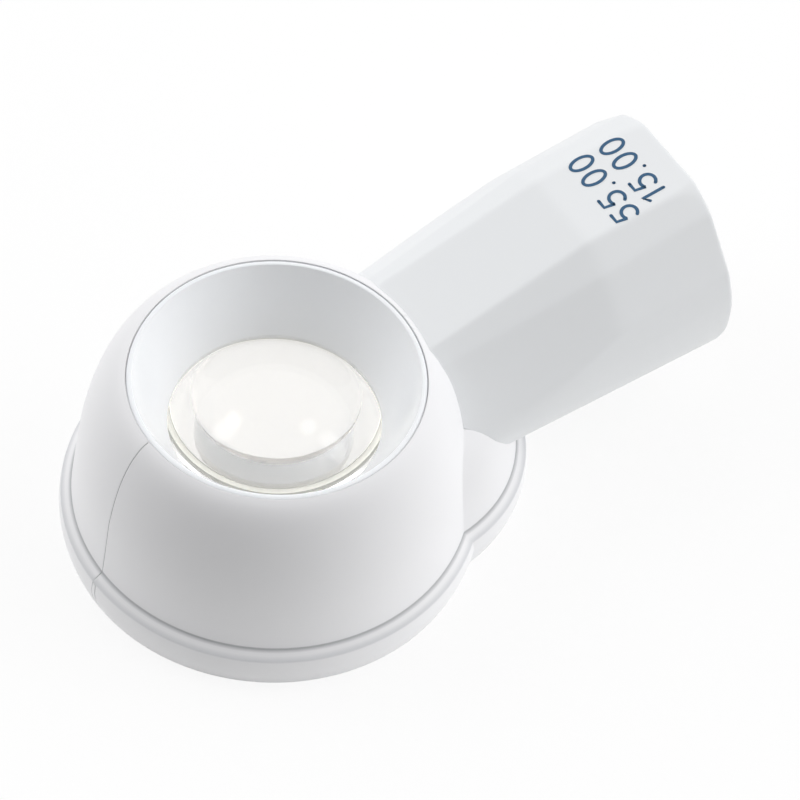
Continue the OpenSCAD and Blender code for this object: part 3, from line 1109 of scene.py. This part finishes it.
@dataclass
class SprungContact(Assembly):
    """Centre contact and the wound spring behind it."""

    axis_z: float = 20.6 * MM
    coil_x: float = 39.525 * MM
    coil_len: float = 5.325 * MM
    coil_r: float = 2.075 * MM
    wire: float = 0.35 * MM
    turns: float = 4.5
    travel: float = 1.6 * MM
    steps_per_turn: int = 28
    wire_sides: int = 12

    def build(self) -> None:
        """Dresses the contact and winds the spring."""
        self.dress("contact_pin", self.finishes.gold)
        coil = self._coil()
        self.stand_in(coil, "contact_spring", "spring_steel", self.finishes.wire)
        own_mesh(coil)

    def _coil(self) -> Piece:
        """Winds the spring as one round wire.

        Returns:
            The spring.
        """
        steps, sides = math.ceil(self.turns * self.steps_per_turn), self.wire_sides
        half = self.wire / 2
        verts: list[Point] = []
        for i in range(steps + 1):
            turn = 2 * math.pi * self.turns * i / steps
            x = self.coil_x + half + (self.coil_len - self.wire) * i / steps
            for k in range(sides):
                a = 2 * math.pi * k / sides
                r = self.coil_r + half * math.cos(a)
                verts.append((x + half * math.sin(a), r * math.cos(turn), self.axis_z + r * math.sin(turn)))
        faces = []
        for i in range(steps):
            here, there = i * sides, (i + 1) * sides
            for k in range(sides):
                n = (k + 1) % sides
                faces.append((here + k, here + n, there + n, there + k))
        faces += [tuple(range(sides))[::-1], tuple(range(steps * sides, (steps + 1) * sides))]
        return mesh_piece("contact_coil", verts, faces, sharp_above=60.0)


class Stroke(Enum):
    """Figures as pen strokes in a box one unit high: each stroke is a list of points."""

    ZERO = "0"
    ONE = "1"
    FIVE = "5"
    POINT = "."

    def lines(self) -> list[Profile]:
        """Points of the figure's strokes.

        Returns:
            One list of points for each stroke, as places across and up.
        """
        if self is Stroke.ZERO:
            return [arc((0.33, 0.5), (0.27, 0.5), 90, 450)]
        if self is Stroke.ONE:
            return [[(0.10, 0.80), (0.34, 1.0), (0.34, 0.0)]]
        if self is Stroke.FIVE:
            return [[(0.56, 1.0), (0.18, 1.0), (0.09, 0.56)] + arc((0.29, 0.32), (0.31, 0.32), 128, -140)]
        return [[(0.12, 0.0), (0.12, 0.01)]]

    def advance(self) -> float:
        """Width of the figure with the space after it."""
        return {"0": 0.86, "1": 0.66, "5": 0.84, ".": 0.42}[self.value]


@dataclass
class PowerFigures(Assembly):
    """Two lines of plain figures printed across the top of the neck."""

    sleeve: NeckSleeve | None = None
    height: float = 3.3 * MM
    pen: float = 0.46 * MM
    lift: float = 0.03 * MM
    rounds: int = 12
    cap_sides: int = 14
    # A stroke is closed where its ends lie within this of each other
    closed_within: float = 1e-9
    # Piece, figures, where their feet stand along the neck and where the line starts across it
    rows: tuple[tuple[str, str, float, float], ...] = (
        ("figures_upper", "55.00", 51.6 * MM, -6.0 * MM),
        ("figures_lower", "15.00", 56.4 * MM, -5.4 * MM),
    )

    def build(self) -> None:
        """Prints both lines."""
        for name, text, base_x, start_y in self.rows:
            self._line(name, text, base_x, start_y)

    def _surface(self, x: float, y: float) -> Point:
        """Point of the print on the sleeve's top.

        Args:
            x: place along the neck.
            y: place across it.

        Returns:
            The point, just off the sleeve.
        """
        sleeve = self.sleeve
        turn = 0.0
        # The angle and the radius depend on each other, so they are found in a few rounds
        for _ in range(self.rounds):
            turn = math.asin(y / sleeve.radius(x, turn, sleeve.ridge_round))
        r = sleeve.radius(x, turn, sleeve.ridge_round) + self.lift
        return (x, r * math.sin(turn), sleeve.axis_z + r * math.cos(turn))

    def _line(self, name: str, text: str, base_x: float, start_y: float) -> None:
        """Prints one line of figures that reads along +Y, its tops towards the lens.

        Args:
            name: the piece's name.
            text: the figures.
            base_x: where their feet stand along the neck.
            start_y: where the line starts.
        """
        verts: list[Point] = []
        faces: list[Face] = []
        y = start_y
        for letter in text:
            glyph = Stroke(letter)
            for stroke in glyph.lines():
                flat = [(base_x - v * self.height, y + u * self.height) for u, v in stroke]
                self._ribbon(flat, verts, faces)
            y += glyph.advance() * self.height
        piece = mesh_piece(name, verts, faces, sharp_above=80.0)
        piece.data.materials.append(self.finishes.ink)
        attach(piece, "head")
        self.pieces.append(name)

    def _ribbon(self, path: Profile, verts: list[Point], faces: list[Face]) -> None:
        """Lays one pen stroke with round ends on the surface.

        Args:
            path: the stroke's middle line, along and across the neck.
            verts: the points so far, which grow.
            faces: the faces so far, which grow.
        """
        half = self.pen / 2
        closed = math.dist(path[0], path[-1]) < self.closed_within
        for i, (x, y) in enumerate(path):
            before = path[i - 1] if i else (path[-2] if closed else path[0])
            after = path[i + 1] if i + 1 < len(path) else (path[1] if closed else path[-1])
            tx, ty = after[0] - before[0], after[1] - before[1]
            size = math.hypot(tx, ty) or 1.0
            nx, ny = -ty / size * half, tx / size * half
            first = len(verts)
            verts += [self._surface(x + nx, y + ny), self._surface(x - nx, y - ny)]
            if i:
                faces.append((first - 2, first - 1, first + 1, first))
        for x, y in () if closed else (path[0], path[-1]):
            first = len(verts)
            for k in range(self.cap_sides):
                a = 2 * math.pi * k / self.cap_sides
                verts.append(self._surface(x + half * math.cos(a), y + half * math.sin(a)))
            faces.append(tuple(range(first, first + self.cap_sides)))


@dataclass(frozen=True)
class SoftBox:
    """One soft light, by where it stands and how strong it is."""

    azimuth: float
    elevation: float
    strength: float


@dataclass
class Studio:
    """Floor, soft light and the camera at the photograph's angle."""

    # The photograph's camera: its angles in degrees, its shifts across the view and its distance
    azimuth: float = -127.57
    elevation: float = 52.19
    roll: float = 4.66
    shift_x: float = 17.02 * MM
    shift_y: float = 14.99 * MM
    distance: float = 880.6 * MM
    # Focal length and frame in the photograph's pixels, and the sensor that stands for the frame
    lens_px: float = 6770.0
    frame_px: float = 800.0
    sensor_mm: float = 36.0
    clip: Pair = (0.01, 10.0)
    # Wide soft boxes far away, as parts of the sky, and the dim sky between them
    boxes: tuple[SoftBox, ...] = (
        SoftBox(-45, 15, 2.45),
        SoftBox(-15, 10, 0.6),
        SoftBox(45, 15, 0.45),
        SoftBox(90, 15, 0.5),
        SoftBox(135, 15, 2.0),
        SoftBox(0, 50, 0.6),
        SoftBox(90, 50, 0.7),
        SoftBox(0, 90, 0.25),
    )
    box_focus: float = 5.0
    sky: float = 0.02
    # Square lamps near the object, which fade between two distances from their middle
    lamps: tuple[SoftBox, ...] = (SoftBox(123, 54, 1.7), SoftBox(-23, 48, 1.7))
    lamp_size: float = 0.24
    lamp_distance: float = 0.6
    lamp_fade: Pair = (0.2, 0.52)
    floor_half: float = 1.2
    floor_drop: float = 0.02 * MM
    # A white sheet lies under the object on a grey table, which only stray light meets
    sheet_centre: Point = (36 * MM, -4 * MM, 0.0)
    sheet_r: float = 92 * MM
    sheet_fade: float = 1.4
    sheet_colour: str = "#fafaf9"
    table_colour: str = "#666666"
    # How far the floor shows plain white; the rest is lit paper, which takes the shadow
    floor_glow: float = 0.85

    def build(self) -> None:
        """Sets up the camera, the floor and the light."""
        self._camera()
        self._floor()
        self._sky()
        for number, lamp in enumerate(self.lamps):
            self._lamp(number, lamp)
        bpy.context.scene.view_settings.view_transform = "Standard"

    def _camera(self) -> None:
        """Places the camera where the photograph was taken from."""
        roll = math.radians(self.roll)
        back = Vector(direction(self.azimuth, self.elevation))
        level = (-back).cross(Vector((0, 0, 1))).normalized()
        above = level.cross(-back)
        right = math.cos(roll) * level + math.sin(roll) * above
        up = -math.sin(roll) * level + math.cos(roll) * above
        place = right * self.shift_x + up * self.shift_y + back * self.distance
        data = bpy.data.cameras.new("photo_camera")
        data.sensor_width = self.sensor_mm
        data.lens = self.sensor_mm * self.lens_px / self.frame_px
        data.clip_start, data.clip_end = self.clip
        camera = bpy.data.objects.new("photo_camera", data)
        bpy.context.scene.collection.objects.link(camera)
        turn = Matrix((right, up, back)).transposed().to_4x4()
        camera.matrix_world = Matrix.Translation(place) @ turn
        bpy.context.scene.camera = camera

    def _floor(self) -> None:
        """Lays the floor just under the object."""
        half = self.floor_half
        corners = [(-half, -half, 0.0), (half, -half, 0.0), (half, half, 0.0), (-half, half, 0.0)]
        floor = mesh_piece("floor", corners, [(0, 1, 2, 3)], sharp_above=30.0)
        floor.location.z = -self.floor_drop
        floor.data.materials.append(node_material("matt_paper_floor", self._paper))
        floor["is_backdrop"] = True

    def _paper(self, tree: Tree) -> Socket:
        """Adds the floor's paper, which shows white but keeps the object's soft shadow.

        Args:
            tree: the node tree to add to.

        Returns:
            The paper, clear from below so that the underside can be looked at.
        """
        place = add_node(tree, "ShaderNodeTexCoord")
        ends = {0: place.outputs["Object"], 1: self.sheet_centre}
        reach = add_node(tree, "ShaderNodeVectorMath", ends, operation="DISTANCE").outputs["Value"]
        rim = {"Value": reach, "From Min": self.sheet_r, "From Max": self.sheet_fade * self.sheet_r}
        edge = add_node(tree, "ShaderNodeMapRange", rim)
        colours = {"Factor": edge.outputs[0], 6: linear(self.sheet_colour), 7: linear(self.table_colour)}
        sheet = add_node(tree, "ShaderNodeMix", colours, data_type="RGBA")
        paper = add_node(tree, "ShaderNodeBsdfDiffuse", {"Color": sheet.outputs[2]})
        bright = add_node(tree, "ShaderNodeBsdfDiffuse", {"Color": WHITE})
        white = add_node(tree, "ShaderNodeEmission", {"Color": WHITE, "Strength": 1.0})
        shown = {0: self.floor_glow, 1: bright.outputs[0], 2: white.outputs[0]}
        front = add_node(tree, "ShaderNodeMixShader", shown)
        either = {0: self._seen(tree), 1: paper.outputs[0], 2: front.outputs[0]}
        top = add_node(tree, "ShaderNodeMixShader", either)
        side = add_node(tree, "ShaderNodeNewGeometry")
        clear = add_node(tree, "ShaderNodeBsdfTransparent")
        both = {0: side.outputs["Backfacing"], 1: top.outputs[0], 2: clear.outputs[0]}
        return add_node(tree, "ShaderNodeMixShader", both).outputs[0]

    @staticmethod
    def _seen(tree: Tree) -> Socket:
        """Finds the rays that show the backdrop: straight, mirrored or through glass.

        Args:
            tree: the node tree to add to.

        Returns:
            A socket that is 1 on such a ray and 0 otherwise.
        """
        path = add_node(tree, "ShaderNodeLightPath")
        seen = path.outputs["Is Camera Ray"]
        for ray in ("Is Glossy Ray", "Is Transmission Ray"):
            either = {0: seen, 1: path.outputs[ray]}
            seen = add_node(tree, "ShaderNodeMath", either, operation="MAXIMUM").outputs[0]
        return seen

    def _sky(self) -> None:
        """Lights the scene with soft boxes round the object and a dim sky between them."""
        world = bpy.data.worlds.new("soft_box_tent")
        bpy.context.scene.world = world
        world.use_nodes = True
        tree = world.node_tree
        tree.nodes.clear()
        place = add_node(tree, "ShaderNodeTexCoord")
        total = add_node(tree, "ShaderNodeValue").outputs[0]
        total.default_value = self.sky
        for box in self.boxes:
            ways = {0: place.outputs["Generated"], 1: direction(box.azimuth, box.elevation)}
            facing = add_node(tree, "ShaderNodeVectorMath", ways, operation="DOT_PRODUCT").outputs["Value"]
            front = add_node(tree, "ShaderNodeMath", {0: facing, 1: 0.0}, operation="MAXIMUM").outputs[0]
            spread = add_node(tree, "ShaderNodeMath", {0: front, 1: self.box_focus}, operation="POWER")
            share = {0: spread.outputs[0], 1: box.strength, 2: total}
            total = add_node(tree, "ShaderNodeMath", share, operation="MULTIPLY_ADD").outputs[0]
        tent = add_node(tree, "ShaderNodeBackground", {"Color": WHITE, "Strength": total})
        white = add_node(tree, "ShaderNodeBackground", {"Color": WHITE, "Strength": 1.0})
        either = {0: self._seen(tree), 1: tent.outputs[0], 2: white.outputs[0]}
        mix = add_node(tree, "ShaderNodeMixShader", either)
        add_node(tree, "ShaderNodeOutputWorld", {"Surface": mix.outputs[0]}).is_active_output = True

    def _lamp(self, number: int, lamp: SoftBox) -> None:
        """Hangs one of the square lamps whose reflections show on the lens.

        Args:
            number: its number among the lamps.
            lamp: where it stands and how strong it is.
        """
        data = bpy.data.lights.new(f"square_softbox_{number}", "AREA")
        data.shape = "SQUARE"
        data.size = self.lamp_size
        data.energy = math.pi * self.lamp_size**2 * lamp.strength
        self._soften(data)
        piece = bpy.data.objects.new(data.name, data)
        bpy.context.scene.collection.objects.link(piece)
        piece.location = Vector(direction(lamp.azimuth, lamp.elevation)) * self.lamp_distance
        piece.rotation_mode = "QUATERNION"
        piece.rotation_quaternion = piece.location.to_track_quat("Z", "Y")

    def _soften(self, data: bpy.types.Light) -> None:
        """Lets a lamp fade towards its edge, as the cloth of a softbox does.

        Args:
            data: the lamp.
        """
        data.use_nodes = True
        tree = data.node_tree
        tree.nodes.clear()
        place = add_node(tree, "ShaderNodeNewGeometry")
        ends = {0: place.outputs["Parametric"], 1: (0.5, 0.5, 0.0)}
        reach = add_node(tree, "ShaderNodeVectorMath", ends, operation="DISTANCE").outputs["Value"]
        full, gone = self.lamp_fade
        rim = {"Value": reach, "From Min": gone, "From Max": full}
        fade = add_node(tree, "ShaderNodeMapRange", rim, interpolation_type="SMOOTHSTEP")
        lamp = add_node(tree, "ShaderNodeEmission", {"Color": WHITE, "Strength": fade.outputs[0]})
        add_node(tree, "ShaderNodeOutputLight", {"Surface": lamp.outputs[0]})


def write_bounds(sizes: dict[str, list[list[float]]], stage: str) -> None:
    """Notes the shown object's lowest and highest corner.

    Args:
        sizes: the corners noted so far, which grow.
        stage: when they were measured.
    """
    low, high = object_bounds()
    sizes[stage] = [list(low), list(high)]


def main() -> None:
    """Builds every sub-assembly in order, then the studio."""
    logging.basicConfig(level=logging.INFO, format="%(message)s")
    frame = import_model()
    sizes: dict[str, list[list[float]]] = {}
    write_bounds(sizes, "loaded")
    finishes = Finishes()
    sleeve = NeckSleeve(frame, finishes)
    parts: list[Assembly] = [
        StandShells(frame, finishes),
        EyepieceCell(frame, finishes),
        sleeve,
        HandleSocket(frame, finishes),
        LampUnit(frame, finishes),
        SprungContact(frame, finishes),
        PowerFigures(frame, finishes, sleeve=sleeve),
    ]
    for part in parts:
        part.build()
        part.report()
    Studio().build()
    write_bounds(sizes, "finished")


if __name__ == "__main__":
    main()
